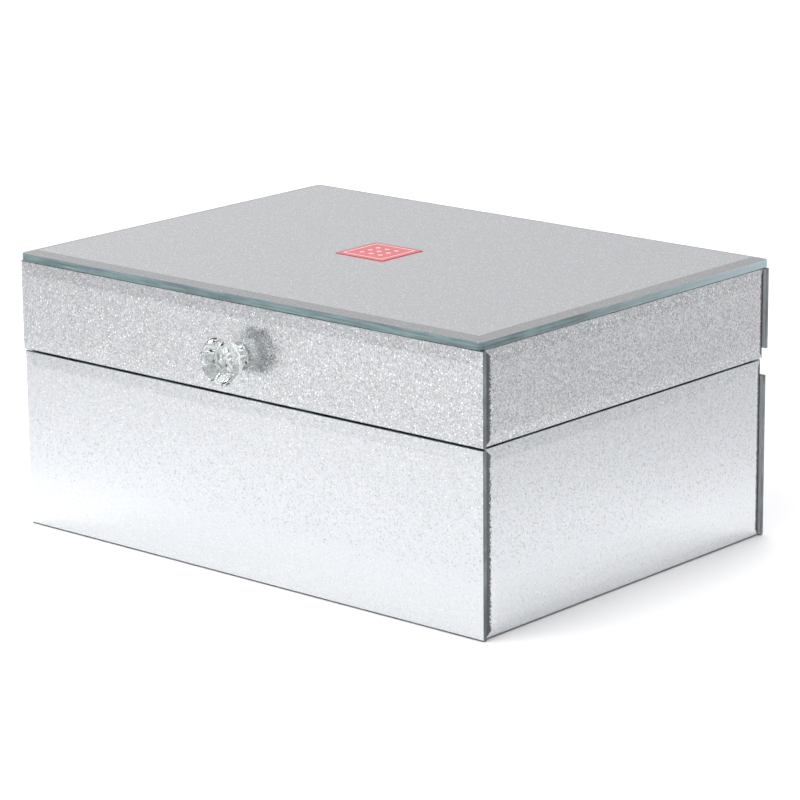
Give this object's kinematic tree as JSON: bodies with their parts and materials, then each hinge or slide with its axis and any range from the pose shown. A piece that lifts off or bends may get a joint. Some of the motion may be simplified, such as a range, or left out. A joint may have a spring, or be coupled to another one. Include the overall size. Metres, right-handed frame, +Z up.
{
  "type": "vanity trinket box",
  "caption": "Hinged trinket box faced in bevelled, glitter-backed mirror glass, with a cut-crystal lid knob and a velvet-lined, divided inside with ring rolls.",
  "frame": {"origin": "middle of the underside, on the table top", "axes": "+X to the right as seen from the front, +Y to the rear where the hinges are, +Z up"},
  "size_m": [0.2308, 0.1866, 0.1097],
  "materials": {
    "glitter_glass": "clear bevelled float glass over silver glitter, glossy, faintly green at the cut edges",
    "crystal": "clear cut crystal, polished facets",
    "fibreboard": "medium-density fibreboard, stained black, matt",
    "velvet": "short-pile black velvet",
    "felt": "thin black felt",
    "nickel": "bright nickel plate",
    "label_card": "coral-pink printed label with a plain pattern",
    "clear_rubber": "clear soft stick-on button"
  },
  "bodies": {
    "base": {"base_felt": "felt", "base_floor_board": "fibreboard", "base_floor_lining": "velvet", "base_front_board": "fibreboard", "base_front_glass": "glitter_glass", "base_front_lining": "velvet", "base_hinge_screw_left_a": "nickel", "base_hinge_screw_left_b": "nickel", "base_hinge_screw_right_a": "nickel", "base_hinge_screw_right_b": "nickel", "base_left_board": "fibreboard", "base_left_glass": "glitter_glass", "base_left_lining": "velvet", "base_rear_board": "fibreboard", "base_rear_glass": "glitter_glass", "base_rear_lining": "velvet", "base_right_board": "fibreboard", "base_right_glass": "glitter_glass", "base_right_lining": "velvet", "base_rim_trim": "velvet", "front_divider": "velvet", "left_bumper": "clear_rubber", "left_hinge_base_leaf": "nickel", "left_hinge_pin": "nickel", "long_divider": "velvet", "rear_divider": "velvet", "right_bumper": "clear_rubber", "right_hinge_base_leaf": "nickel", "right_hinge_pin": "nickel", "ring_roll_1": "velvet", "ring_roll_2": "velvet", "ring_roll_3": "velvet", "ring_roll_4": "velvet", "ring_roll_5": "velvet"},
    "lid": {"knob_crystal": "crystal", "knob_screw": "nickel", "knob_washer": "nickel", "left_hinge_lid_leaf": "nickel", "lid_front_glass": "glitter_glass", "lid_front_rail": "fibreboard", "lid_hinge_screw_left_a": "nickel", "lid_hinge_screw_left_b": "nickel", "lid_hinge_screw_right_a": "nickel", "lid_hinge_screw_right_b": "nickel", "lid_left_glass": "glitter_glass", "lid_left_rail": "fibreboard", "lid_pad": "velvet", "lid_rear_glass": "glitter_glass", "lid_rear_rail": "fibreboard", "lid_right_glass": "glitter_glass", "lid_right_rail": "fibreboard", "lid_rim_trim": "velvet", "lid_side_lining": "velvet", "lid_top_board": "fibreboard", "lid_top_glass": "glitter_glass", "right_hinge_lid_leaf": "nickel", "top_label": "label_card"}
  },
  "joints": [
    {"name": "lid_hinge", "type": "hinge", "parent": "base", "child": "lid", "pos_m": [0, 0.08445, 0.07], "axis": [-1, 0, 0], "range_deg": [0, 100]}
  ]
}
